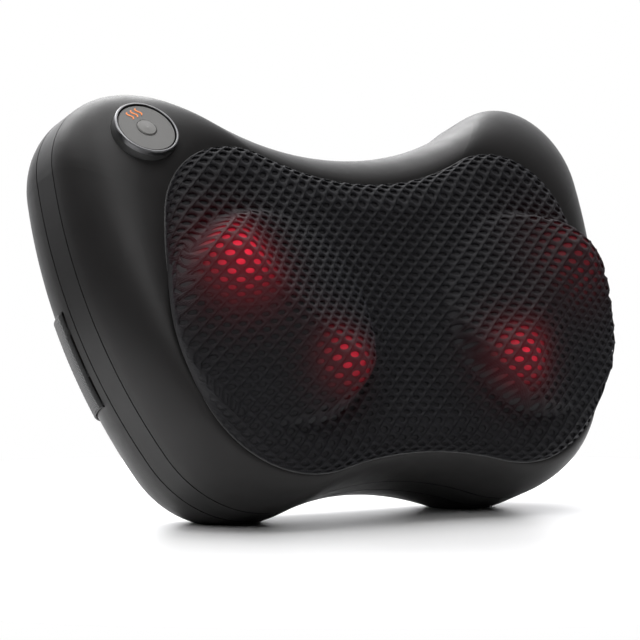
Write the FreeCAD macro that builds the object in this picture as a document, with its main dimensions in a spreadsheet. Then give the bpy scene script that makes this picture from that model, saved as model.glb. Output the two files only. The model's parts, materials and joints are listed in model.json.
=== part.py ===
import FreeCAD, Part
import math
import os
from types import SimpleNamespace

import Sketcher
from FreeCAD import Placement, Rotation, Vector

# Shiatsu neck massager: a butterfly-shaped pillow that stands on its two lower lobes and
# leans back.  Every piece is designed upright (X across, -Y to the front, Z up the pillow)
# and is then leaned back and set on the floor by one placement, LEAN.

SIZES = {
    # outer outline: tangent arcs round four lobes, joined by side arcs and two valleys
    "top_lobe_x": 124.8, "top_lobe_z": 172.1, "top_lobe_radius": 42.5,
    "low_lobe_x": 77.4, "low_lobe_z": 53.1, "low_lobe_radius": 62.1,
    "side_radius": 286.6, "top_valley_radius": 197.7, "low_valley_radius": 176.5,
    # mesh opening: how far its lobe centres lie inside the outer ones, and its own arcs
    "rim_top_inward": 39.1, "rim_top_down": 42.2, "rim_top_radius": 44.9,
    "rim_low_inward": 9.8, "rim_low_up": 12.3, "rim_low_radius": 64.3,
    "rim_side_radius": 193.6, "rim_top_valley_radius": 154.6, "rim_low_valley_radius": 207.5,
    # depth of the three shells, and how the rear shell tapers
    "front_depth": 36.5, "band_width": 17.0, "rear_depth": 40.0,
    "rear_taper": 36.0, "rear_drop": 16.0, "wall": 2.5, "seam": 0.8,
    # stance
    "lean_angle": 19.3, "stand_height": 15.8, "centre_shift": 27.5,
    # clearances
    "gap": 0.3, "running": 0.05, "seated": 0.02,
    # massage carriers and nodes
    "carrier_x": 83.3, "carrier_z": 80.0, "node_arm": 38.0, "node_angle": 46.0,
    "node_radius": 16.5, "node_wall": 2.2, "node_seat": 4.5, "node_boss_height": 3.0,
    "arm_back": 41.5, "arm_thick": 5.0, "arm_half_width": 8.0, "hub_radius": 12.0,
    "lamp_radius": 3.0, "lamp_height": 5.0, "ring_outer": 22.0, "ring_thick": 1.2,
    # gear train
    "gear_module": 1.0, "wheel_teeth": 50, "wheel_width": 8.0, "worm_radius": 7.0,
    "worm_length": 24.0, "backlash": 0.35, "addendum": 0.85, "dedendum": 1.25,
    "output_radius": 5.0, "gear_hub_radius": 10.0, "bush_wall": 2.5,
    # gearbox: depths are measured forward from the outer seam
    "box_back": 12.0, "box_split": 34.0, "box_wall": 3.0, "cover_thick": 3.5,
    "drum_radius": 28.0, "tunnel_half": 9.5, "tunnel_length": 101.5, "worm_depth": 26.0,
    "ear_radius": 4.5,
    # motor
    "motor_radius": 15.5, "motor_length": 47.0, "motor_wall": 1.2, "motor_boss_radius": 5.0,
    "motor_boss_length": 2.8, "rotor_radius": 3.0, "armature_radius": 10.0,
    # fabric
    "cover_thick_soft": 1.4, "liner_thick": 1.0, "sweep_clearance": 1.5, "frame_width": 3.0,
    # control pad: how far out and up from the upper left lobe's centre, and behind the rim
    "pad_outward": 4.7, "pad_up": 13.4, "pad_behind_rim": 1.5, "pad_tilt": 22.0, "pad_turn": 4.0,
    "pad_radius": 17.2, "bezel_width": 1.25, "bezel_height": 3.0, "pad_groove": 0.65,
    "plate_thick": 1.6, "plate_inset": 0.6, "pad_depth": 11.0, "button_radius": 5.2,
    "button_rise": 0.6, "button_travel": 0.8, "pad_board_thick": 1.2, "switch_half": 3.0,
    # heat mark on the control plate: three waves
    "mark_outward": 3.7, "mark_up": 9.6, "mark_turn": 26.0, "wave_pitch": 3.2,
    "wave_wide": 1.0, "wave_swing": 0.7, "wave_tall": 5.2, "wave_thick": 0.15,
    # strap, screws, board and inlet
    "strap_low": 57.0, "strap_wide": 50.0, "strap_thick": 1.6, "strap_gap": 0.4,
    "strap_start": 6.0, "strap_tail": 9.0, "slot_inward": 4.5, "bar_inward": 3.0, "bar_thick": 3.0,
    "screw_radius": 1.5, "screw_head_radius": 2.8, "screw_head_height": 2.0, "post_radius": 5.0,
    "screw_post_radius": 4.0, "screw_recess": 20.0, "screw_grip": 12.0, "boss_split": 8.0,
    "top_screw_outward": 17.0, "top_screw_down": 16.0,
    "low_screw_above_strap": 11.0,
    "foot_inner_x": 40.0, "foot_outer_x": 60.0, "foot_outer_down": 53.0,
    "vent_pitch": 8.0, "vent_wide": 3.0, "vent_low": 22.0, "vent_tall": 28.0,
    "board_thick": 1.6, "board_back": 20.0, "board_half_width": 40.0, "board_low": 98.0,
    "board_tall": 30.0, "board_post_x": 34.0, "board_post_inset": 6.0, "board_post_radius": 3.0,
    "inlet_x": 88.0, "inlet_z": 36.0, "inlet_radius": 6.0, "plug_bore_radius": 2.95,
    "plug_pin_radius": 1.0,
}


class Size:
    """A number with the formula that gives it from the sheet's cells."""

    def __init__(self, value, formula):
        self.value = float(value)
        self.formula = formula

    def __float__(self):
        return self.value

    def __add__(self, other):
        other = as_size(other)
        return Size(self.value + other.value, f"({self.formula} + {other.formula})")

    def __sub__(self, other):
        other = as_size(other)
        return Size(self.value - other.value, f"({self.formula} - {other.formula})")

    def __mul__(self, other):
        other = as_size(other)
        return Size(self.value * other.value, f"({self.formula} * {other.formula})")

    def __truediv__(self, other):
        other = as_size(other)
        return Size(self.value / other.value, f"({self.formula} / {other.formula})")

    def __radd__(self, other):
        return as_size(other) + self

    def __rsub__(self, other):
        return as_size(other) - self

    def __rmul__(self, other):
        return as_size(other) * self

    def __neg__(self):
        return Size(-self.value, f"(0 - {self.formula})")


def as_size(value):
    return value if isinstance(value, Size) else Size(value, repr(float(value)))


doc = FreeCAD.newDocument("NeckMassager")
sheet = doc.addObject("Spreadsheet::Sheet", "Sizes")
for row, (alias, number) in enumerate(SIZES.items(), start=1):
    sheet.set(f"A{row}", alias)
    sheet.set(f"B{row}", str(number))
    sheet.setAlias(f"B{row}", alias)
doc.recompute()
s = SimpleNamespace(**{name: Size(sheet.get(name), f"Sizes.{name}") for name in SIZES})

SIDES = (("left", -1), ("right", 1))
LEAN = Placement(
    Vector(0, -float(s.centre_shift), float(s.stand_height)),
    Rotation(Vector(1, 0, 0), -float(s.lean_angle)),
)
FACING_X = Rotation(Vector(0, 1, 0), 90)          # turns a piece's own +Z to +X
FACING_FRONT = Rotation(Vector(1, 0, 0), 90)      # turns a piece's own +Z to -Y
FACING_BACK = Rotation(Vector(1, 0, 0), -90)      # turns a piece's own +Z to +Y
UPRIGHT = Rotation()
made = {}


# ---------------------------------------------------------------- building blocks

def bind(thing, prop, value):
    """Tie one property to the sheet, or set it when it is a plain number."""
    if isinstance(value, Size) and "Sizes." in value.formula:
        thing.setExpression(prop, value.formula)
    elif "." in prop:
        thing.setExpression(prop, repr(float(value)))
    else:
        setattr(thing, prop, float(value))


def move(thing, at, turn=UPRIGHT):
    thing.Placement = Placement(Vector(*[float(v) for v in at]), turn)
    for letter, value in zip("xyz", at):
        if isinstance(value, Size):
            bind(thing, f"Placement.Base.{letter}", value)
    return thing


def cylinder(radius, height, at=(0, 0, 0), turn=UPRIGHT):
    thing = doc.addObject("Part::Cylinder", "cylinder")
    bind(thing, "Radius", radius)
    bind(thing, "Height", height)
    return move(thing, at, turn)


def block(low, high):
    """A box given by its lowest and highest corners."""
    thing = doc.addObject("Part::Box", "block")
    for prop, a, b in zip(("Length", "Width", "Height"), low, high):
        bind(thing, prop, as_size(b) - a)
    return move(thing, low)


def fuse(*things):
    thing = doc.addObject("Part::MultiFuse", "fuse")
    thing.Shapes = list(things)
    return thing


def cut(base, *tools):
    thing = doc.addObject("Part::Cut", "cut")
    thing.Base = base
    thing.Tool = tools[0] if len(tools) == 1 else fuse(*tools)
    return thing


def group(*things):
    thing = doc.addObject("Part::Compound", "group")
    thing.Links = list(things)
    return thing


def computed(shape):
    thing = doc.addObject("Part::Feature", "computed")
    thing.Shape = shape
    return thing


def profile(body, plane, points):
    """A closed polygon sketch on one of the body's origin planes, each corner bound."""
    sketch = body.newObject("Sketcher::SketchObject", f"{body.Name}_profile")
    origin = [f for f in body.Origin.OriginFeatures if f.Role == plane][0]
    sketch.AttachmentSupport = [(origin, "")]
    sketch.MapMode = "FlatFace"
    corners = [Vector(float(u), float(v), 0) for u, v in points]
    for start, end in zip(corners, corners[1:] + corners[:1]):
        sketch.addGeometry(Part.LineSegment(start, end), False)
    for i in range(len(corners)):
        sketch.addConstraint(Sketcher.Constraint("Coincident", i, 2, (i + 1) % len(corners), 1))
    for i, (u, v) in enumerate(points):
        for kind, value in (("DistanceX", u), ("DistanceY", v)):
            index = sketch.addConstraint(Sketcher.Constraint(kind, -1, 1, i, 1, float(value)))
            if isinstance(value, Size):
                sketch.setExpression(f"Constraints[{index}]", value.formula)
    return sketch


def turned(name, points):
    """A solid of revolution about its own Z, from (radius, height) corners."""
    body = doc.addObject("PartDesign::Body", name)
    sketch = profile(body, "XZ_Plane", points)
    turn = body.newObject("PartDesign::Revolution", f"{name}_turn")
    turn.Profile = sketch
    turn.ReferenceAxis = (sketch, ["V_Axis"])
    turn.Angle = 360
    body.Tip = turn
    return body


def tube(name, inner, outer, low, high):
    return turned(name, [(inner, low), (outer, low), (outer, high), (inner, high)])


def screw(name, length):
    """A pan-head screw whose head sits on z = 0 and whose shank points down."""
    body = turned(name, [
        (0, -length), (s.screw_radius - 0.1, -length), (s.screw_radius - 0.1, 0),
        (s.screw_head_radius, 0), (s.screw_head_radius, s.screw_head_height * 0.6),
        (s.screw_head_radius * 0.7, s.screw_head_height), (0, s.screw_head_height),
    ])
    return body


def finish(label, thing, at=(0, 0, 0), turn=UPRIGHT):
    """Name a finished sub-part and put it in its place on the leaning pillow."""
    thing.Label = label
    local = Placement(Vector(*[float(v) for v in at]), turn)
    made[label] = (thing, LEAN.multiply(local))
    return thing


def copies(thing, places):
    """Several placed copies of one sub-part, as a group of separate solids."""
    links = []
    for at, turn in places:
        doc.recompute()
        copy = computed(thing.Shape.copy())
        links.append(move(copy, at, turn))
    return group(*links)


# ---------------------------------------------------------------- outlines of the shells

OUTER = [float(v) for v in (
    s.top_lobe_x, s.top_lobe_z, s.top_lobe_radius, s.low_lobe_x, s.low_lobe_z,
    s.low_lobe_radius, s.side_radius, s.top_valley_radius, s.low_valley_radius)]
RIM = [float(v) for v in (
    s.top_lobe_x - s.rim_top_inward, s.top_lobe_z - s.rim_top_down, s.rim_top_radius,
    s.low_lobe_x - s.rim_low_inward, s.low_lobe_z + s.rim_low_up, s.rim_low_radius,
    s.rim_side_radius, s.rim_top_valley_radius, s.rim_low_valley_radius)]
SECTION_ANGLES = [math.radians(a) for a in (0, 22.5, 45, 67.5, 90)]


def inset(outline, distance):
    """The same tangent arcs moved inwards: lobes and sides shrink, valleys grow."""
    shrinks = (0, 0, 1, 0, 0, 1, 1, -1, -1)
    return [value - sign * distance for value, sign in zip(outline, shrinks)]


def outline_wire(outline, y, drop=0.0):
    """Ten tangent arcs in the plane y, symmetric about x = 0."""
    top_x, top_z, top_r, low_x, low_z, low_r, side_r, top_valley, low_valley = outline
    above = top_z + math.sqrt((top_r + top_valley) ** 2 - top_x ** 2)
    below = low_z - math.sqrt((low_r + low_valley) ** 2 - low_x ** 2)
    span = math.hypot(low_x - top_x, low_z - top_z)
    to_top = side_r - top_r
    to_low = side_r - low_r
    along = (to_top ** 2 - to_low ** 2 + span ** 2) / (2 * span)
    across = math.sqrt(to_top ** 2 - along ** 2)
    step_x = (low_x - top_x) / span
    step_z = (low_z - top_z) / span
    side_x = top_x + along * step_x + across * step_z
    side_z = top_z + along * step_z - across * step_x

    def from_centre(cx, cz, px, pz, radius):
        size = math.hypot(px - cx, pz - cz)
        return (cx + radius * (px - cx) / size, cz + radius * (pz - cz) / size)

    def facing(cx, cz, radius, a, b):
        mx, mz = (a[0] + b[0]) / 2 - cx, (a[1] + b[1]) / 2 - cz
        size = math.hypot(mx, mz)
        return (cx + radius * mx / size, cz + radius * mz / size)

    top_mid = (0, above - top_valley)
    top_in = from_centre(0, above, top_x, top_z, top_valley)
    top_out = from_centre(side_x, side_z, top_x, top_z, side_r)
    low_out = from_centre(side_x, side_z, low_x, low_z, side_r)
    low_in = from_centre(0, below, low_x, low_z, low_valley)
    low_mid = (0, below + low_valley)
    lobe_top = (top_x + top_r * math.cos(math.radians(80)),
                top_z + top_r * math.sin(math.radians(80)))
    lobe_low = (low_x, low_z - low_r)
    arcs = [
        (top_mid, facing(0, above, top_valley, top_mid, top_in), top_in),
        (top_in, lobe_top, top_out),
        (top_out, facing(side_x, side_z, side_r, top_out, low_out), low_out),
        (low_out, lobe_low, low_in),
        (low_in, facing(0, below, low_valley, low_in, low_mid), low_mid),
    ]
    edges = []
    for arc in arcs:
        edges.append(Part.Arc(*[Vector(x, y, z - drop) for x, z in arc]).toShape())
    for arc in reversed(arcs):
        edges.append(Part.Arc(*[Vector(-x, y, z - drop) for x, z in reversed(arc)]).toShape())
    return Part.Wire(edges)


def slab(outline, low_y, high_y):
    """A flat slab of an outline between two depths."""
    face = Part.Face(outline_wire(outline, low_y))
    return face.extrude(Vector(0, high_y - low_y, 0))


def front_form(grow):
    """The front shell's body: a rounded shoulder from the outer outline to the rim."""
    wires = []
    for angle in SECTION_ANGLES:
        share = 1 - math.cos(angle)
        blend = [a + (b - a) * share for a, b in zip(OUTER, RIM)]
        depth = float(s.front_depth) + grow
        wires.append(outline_wire(inset(blend, -grow * math.cos(angle)), -depth * math.sin(angle)))
    return Part.makeLoft(wires, True, False)


def rear_form(grow):
    """The rear shell's body: a rounded shoulder that tapers to a flat, lower-set back."""
    wires = []
    taper = float(s.rear_taper)
    for angle in SECTION_ANGLES:
        inwards = taper - (taper + grow) * math.cos(angle)
        y = float(s.band_width) + (float(s.rear_depth) + grow) * math.sin(angle)
        drop = float(s.rear_drop) * (1 - math.cos(angle))
        wires.append(outline_wire(inset(OUTER, inwards), y, drop))
    return Part.makeLoft(wires, True, False)


def above_floor(height):
    """Everything higher than a height over the floor, in the upright design frame."""
    room = Part.makeBox(600, 600, 400, Vector(-300, -300, height))
    room.Placement = LEAN.inverse()
    return room


def rod(radius, x, z, low_y, high_y):
    return Part.makeCylinder(float(radius), high_y - low_y, Vector(x, low_y, z), Vector(0, 1, 0))


OUTSIDE = 300.0                                   # a reach that clears the whole pillow


def edge_at(outline, z):
    """Half the width of an outline at one height."""
    line = Part.makeLine(Vector(0, 0, z), Vector(OUTSIDE, 0, z))
    return Part.Face(outline_wire(outline, 0)).common(line).BoundBox.XMax


# the lower shell screws stand midway between the mesh opening and the outer outline
LOW_SCREW_Z = float(s.strap_low + s.strap_wide + s.low_screw_above_strap)
SHELL_SCREWS = [(side * x, z) for side in (-1, 1) for x, z in (
    (float(s.top_lobe_x + s.top_screw_outward), float(s.top_lobe_z - s.top_screw_down)),
    ((edge_at(OUTER, LOW_SCREW_Z) + edge_at(RIM, LOW_SCREW_Z)) / 2, LOW_SCREW_Z))]
BOX_FEET = [(side * float(x), float(z)) for side in (-1, 1) for x, z in (
    (s.foot_inner_x, s.carrier_z), (s.foot_outer_x, s.carrier_z - s.foot_outer_down))]
BOARD_POSTS = [(side * float(s.board_post_x), float(z)) for side in (-1, 1) for z in (
    s.board_low + s.board_post_inset, s.board_low + s.board_tall - s.board_post_inset)]
VENTS = [step * float(s.vent_pitch) for step in (-2, -1, 0, 1, 2)]
FRONT = float(s.front_depth)
BACK = float(s.band_width + s.rear_depth)
WALL = float(s.wall)
SPLIT = float(s.boss_split)                       # depth where front and rear bosses meet
HEAD_SEAT = BACK - float(s.screw_recess)          # depth of the shell screws' heads
FOOT_PILOT_END = 6.0                              # depth where the gearbox screws' holes end
BOARD_PILOT_END = 34.0                            # depth where the board screws' holes end
PAD = Placement(
    Vector(-float(s.top_lobe_x + s.pad_outward), -float(s.front_depth - s.pad_behind_rim),
           float(s.top_lobe_z + s.pad_up)),
    Rotation(Vector(0, 0, 1), -float(s.pad_turn)).multiply(
        Rotation(Vector(1, 0, 0), 90 - float(s.pad_tilt))),
)


# ---------------------------------------------------------------- shells

def make_front_shell():
    outer = front_form(0)
    hollow = front_form(-WALL)
    opening = slab(RIM, -FRONT - 1, -FRONT + WALL + 0.5)
    shell = outer.cut(hollow.fuse(opening))
    for x, z in SHELL_SCREWS:
        boss = rod(s.screw_post_radius, x, z, -FRONT, SPLIT).common(
            outer.fuse(slab(OUTER, 0, SPLIT)))
        pilot_end = SPLIT - float(s.screw_grip) - 2
        shell = shell.fuse(boss).cut(rod(s.screw_radius, x, z, pilot_end, SPLIT + 1))
    hole = Part.makeCylinder(float(s.pad_radius + s.gap / 2), 40, Vector(0, 0, -20))
    hole.Placement = PAD
    finish("front_shell", computed(shell.cut(hole).removeSplitter()))


def make_mid_band():
    width = float(s.band_width)
    seam = float(s.seam)
    ring = slab(OUTER, seam, width - seam).fuse(slab(inset(OUTER, seam), 0, width))
    lip = inset(OUTER, WALL + 0.5)
    tongue = slab(lip, -3, width)
    ring = ring.cut(slab(inset(OUTER, WALL), -1, width + 1))
    rail = tongue.cut(slab(inset(lip, 1.4), -4, width + 1))
    bridge = slab(inset(OUTER, 1.5), 2, width - 2).cut(slab(inset(lip, 1.0), 1, width))
    finish("mid_band", computed(ring.fuse(rail).fuse(bridge).removeSplitter()))


def make_rear_shell():
    outer = rear_form(0).common(above_floor(0))
    hollow = rear_form(-WALL).common(above_floor(WALL))
    shell = outer.cut(hollow)
    inside = outer.fuse(slab(inset(OUTER, WALL), SPLIT, float(s.band_width)))
    for x, z in SHELL_SCREWS:
        post = rod(s.screw_post_radius, x, z, SPLIT + float(s.gap), BACK).common(inside)
        recess = rod(s.screw_head_radius + s.gap, x, z, HEAD_SEAT, BACK + 5)
        sleeve = rod(s.screw_head_radius + s.gap + 1.5, x, z, HEAD_SEAT - 2, BACK).common(outer)
        shell = shell.fuse(post).fuse(sleeve).cut(recess)
        shell = shell.cut(rod(s.screw_radius + 0.1, x, z, SPLIT - 1, BACK))
    for x, z in BOX_FEET:
        post = rod(s.post_radius, x, z, -float(s.box_back), BACK - WALL / 2)
        shell = shell.fuse(post).cut(rod(s.screw_radius, x, z, -20, FOOT_PILOT_END))
    for x, z in BOARD_POSTS:
        post = rod(s.board_post_radius, x, z, float(s.board_back + s.board_thick), BACK - WALL / 2)
        shell = shell.fuse(post).cut(rod(s.screw_radius, x, z, 10, BOARD_PILOT_END))
    wide = float(s.vent_wide)
    for x in VENTS:
        corner = Vector(x - wide / 2, BACK - 6, float(s.vent_low))
        shell = shell.cut(Part.makeBox(wide, 12, float(s.vent_tall), corner))
    shell = shell.cut(rod(s.inlet_radius + 0.1, float(s.inlet_x), float(s.inlet_z), 40, BACK + 5))
    for side in (-1, 1):
        shell = shell.cut(strap_slot(side))
    finish("rear_shell", computed(shell.removeSplitter()))


def strap_slot(side):
    """The slot in the rear shell where one end of the strap goes in."""
    low_y = float(s.band_width + s.strap_start) - float(s.gap)
    low_z = float(s.strap_low - s.gap)
    deep = float(s.strap_thick) + 2 * float(s.gap)
    tall = float(s.strap_wide) + 2 * float(s.gap)
    near = float(s.low_lobe_x + s.low_lobe_radius - s.slot_inward)
    left_edge = near if side > 0 else -near - OUTSIDE
    return Part.makeBox(OUTSIDE, deep, tall, Vector(left_edge, low_y, low_z))


def make_strap():
    """An elastic band round the back, with both ends turned in through the slots."""
    outer = rear_form(float(s.strap_gap + s.strap_thick))
    inner = rear_form(float(s.strap_gap))
    start = float(s.band_width + s.strap_start)
    low, wide = float(s.strap_low), float(s.strap_wide)
    corner = Vector(-OUTSIDE, start, low)
    strap = outer.cut(inner).common(Part.makeBox(2 * OUTSIDE, BACK, wide, corner))
    tail_zone = outer.cut(rear_form(-float(s.strap_tail)))
    tails = tail_zone.common(Part.makeBox(2 * OUTSIDE, float(s.strap_thick), wide, corner))
    finish("elastic_strap", computed(strap.fuse(tails).removeSplitter()))
    # the bars the tails are sewn round: each stands just behind one tail, inside the shell
    behind = start + float(s.strap_thick + s.gap)
    thick = float(s.bar_thick)
    outline = WALL + float(s.bar_inward)
    rail = slab(inset(OUTER, outline), behind, behind + thick)
    rail = rail.cut(slab(inset(OUTER, outline + thick), behind - 1, behind + thick + 1))
    reach = Part.makeBox(2 * OUTSIDE, BACK, wide + 6, Vector(-OUTSIDE, 0, low - 3))
    finish("strap_bars", computed(rail.common(reach)))


# ---------------------------------------------------------------- fabric front

def drum(radius, low_y, high_y, tip_y, tip_radius):
    """The rounded bulge that clears one carrier's sweep, for both sides together."""
    shapes = []
    for _, side in SIDES:
        at = Vector(side * float(s.carrier_x), -low_y, float(s.carrier_z))
        shapes.append(Part.makeCylinder(radius, high_y - low_y, at, Vector(0, -1, 0)))
        at = Vector(side * float(s.carrier_x), -high_y, float(s.carrier_z))
        shapes.append(Part.makeCone(radius, tip_radius, tip_y - high_y, at, Vector(0, -1, 0)))
    return shapes[0].fuse(shapes[1:])


NODE_CENTRE = float(s.arm_back + s.arm_thick + s.node_seat)
NODE_TIP = NODE_CENTRE + float(s.node_radius)
SWEEP = float(s.node_arm + s.node_radius + s.sweep_clearance)


def fabric_form(grow, edge):
    """The stretched front: a slab over the opening with a bulge over each carrier."""
    rim = inset(RIM, edge)
    low = FRONT - float(s.gap)
    shoulder = NODE_CENTRE + 1 + grow
    top = NODE_TIP - 8 + grow
    base = slab(rim, -shoulder, -low)
    crown = Part.makeLoft([
        outline_wire(rim, -shoulder), outline_wire(inset(RIM, edge + 12), -top)], True, True)
    bulge = drum(SWEEP + grow, FRONT + 5.5 - grow, NODE_CENTRE + 8, NODE_TIP + 1 + grow,
                 float(s.node_arm) + 6 + grow)
    return base.fuse(crown).fuse(bulge)


def make_fabric():
    cover = float(s.cover_thick_soft)
    liner = float(s.liner_thick)
    gap = float(s.gap)
    layers = [
        ("mesh_cover", liner + gap + cover, liner + gap, gap),
        ("inner_liner", liner, 0.0, gap + cover + gap),
    ]
    for label, outside, inside, edge in layers:
        skin = fabric_form(outside, edge).cut(
            fabric_form(inside, edge + outside - inside).fuse(
                slab(inset(RIM, edge + outside - inside), -FRONT - 3, -FRONT + 2)))
        finish(label, computed(skin.removeSplitter()))
    frame = slab(inset(RIM, gap), -FRONT + 2 * gap, -FRONT + 6)
    frame = frame.cut(slab(inset(RIM, gap + float(s.frame_width)), -FRONT - 1, -FRONT + 7))
    finish("mesh_frame", computed(frame))


# ---------------------------------------------------------------- gear train

HUB_START = s.box_back + s.box_wall + 1.2           # depth of the wheel hub's back end
HUB_END = s.box_split - 0.8                         # depth of its front end
HUB_LENGTH = HUB_END - HUB_START
WHEEL_BACK = s.worm_depth - s.wheel_width / 2
HUB_BACK = WHEEL_BACK - HUB_START                   # back hub's length
WORM_HEIGHT = s.carrier_z - s.gear_module * s.wheel_teeth / 2 - s.worm_radius
WORM_Z = float(WORM_HEIGHT)
DRIVE = (0, -float(s.worm_depth), WORM_Z)           # middle of the motor's shaft
# radius of a node's open base, where its ball is cut flat
NODE_BASE = Size(math.sqrt(float(s.node_radius) ** 2 - float(s.node_seat) ** 2),
                 "sqrt(Sizes.node_radius ^ 2 - Sizes.node_seat ^ 2)")
# the ears that hold the gearbox cover: one over each wheel and four below the motor
EARS = [(side * x, z) for side in (-1, 1) for x, z in (
    (float(s.carrier_x), float(s.carrier_z + s.drum_radius + s.box_wall) + 3),
    (float(s.carrier_x) + 22, WORM_Z - 14), (float(s.carrier_x) - 41, WORM_Z - 14))]


def make_worm_wheel(name, centre):
    """A spur-cut worm wheel with a gap between teeth at the worm's line, and two hubs."""
    module = s.gear_module
    pitch = module * s.wheel_teeth / 2
    half = module * math.pi / 4 - s.backlash / 2
    tip = half - module * s.addendum * math.tan(math.radians(20))
    foot = half + module * s.dedendum * math.tan(math.radians(20))
    root = pitch - module * s.dedendum
    bore = s.output_radius + s.seated
    body = doc.addObject("PartDesign::Body", name)
    disc = profile(body, "XZ_Plane", [
        (bore, 0), (s.gear_hub_radius, 0), (s.gear_hub_radius, HUB_BACK),
        (root, HUB_BACK), (root, HUB_BACK + s.wheel_width),
        (s.gear_hub_radius, HUB_BACK + s.wheel_width), (s.gear_hub_radius, HUB_LENGTH),
        (bore, HUB_LENGTH)])
    turn = body.newObject("PartDesign::Revolution", f"{name}_turn")
    turn.Profile = disc
    turn.ReferenceAxis = (disc, ["V_Axis"])
    turn.Angle = 360
    tooth = profile(body, "XY_Plane", [
        (root - 0.5, -foot), (pitch + module * s.addendum, -tip),
        (pitch + module * s.addendum, tip), (root - 0.5, foot)])
    tooth.AttachmentOffset = Placement(Vector(0, 0, float(HUB_BACK)), UPRIGHT)
    tooth.setExpression("AttachmentOffset.Base.z", HUB_BACK.formula)
    pad = body.newObject("PartDesign::Pad", f"{name}_tooth")
    pad.Profile = tooth
    bind(pad, "Length", s.wheel_width)
    doc.recompute()
    ring = body.newObject("PartDesign::PolarPattern", f"{name}_teeth")
    ring.Originals = [pad]
    ring.Axis = (tooth, ["N_Axis"])
    ring.Angle = 360
    ring.setExpression("Occurrences", s.wheel_teeth.formula)
    body.Tip = ring
    # own +Z faces the front; a half-tooth turn brings a gap to the bottom, over the worm
    half_tooth = 180 / float(s.wheel_teeth)
    clock = FACING_FRONT.multiply(Rotation(Vector(0, 0, 1), -90 + half_tooth))
    finish(name, body, centre(-float(HUB_START)), clock)


def make_worm(name, side):
    """A single-start worm on the motor shaft; left and right have opposite hands."""
    module = float(s.gear_module)
    pitch = math.pi * module
    length = float(s.worm_length)
    radius = float(s.worm_radius)
    root = radius - module * float(s.dedendum)
    crest = radius + module * float(s.addendum)
    slope = math.tan(math.radians(20))
    half = pitch / 4 - float(s.backlash) / 2
    sink = 0.4
    turns = int(length / pitch / 2) * 2 - 2
    thread_length = turns * pitch
    helix = Part.makeHelix(pitch, thread_length, root, 0, side < 0)
    wide = half + (radius - root + sink) * slope
    narrow = half - (crest - radius) * slope
    corners = [Vector(root - sink, 0, -wide), Vector(crest, 0, -narrow),
               Vector(crest, 0, narrow), Vector(root - sink, 0, wide)]
    section = Part.makePolygon(corners + corners[:1])
    thread = Part.Wire(helix.Edges).makePipeShell([section], True, True)
    thread.translate(Vector(0, 0, -thread_length / 2))
    core = Part.makeCylinder(root, length, Vector(0, 0, -length / 2))
    bore = Part.makeCylinder(float(s.rotor_radius), length + 2, Vector(0, 0, -length / 2 - 1))
    worm = computed(core.fuse(thread).cut(bore))
    # own +X (where the middle thread passes) turns up to the wheel, own +Z along the shaft
    turn = Rotation(Vector(1, 0, 1), 180)
    finish(name, worm, (side * float(s.carrier_x), DRIVE[1], DRIVE[2]), turn)


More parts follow.
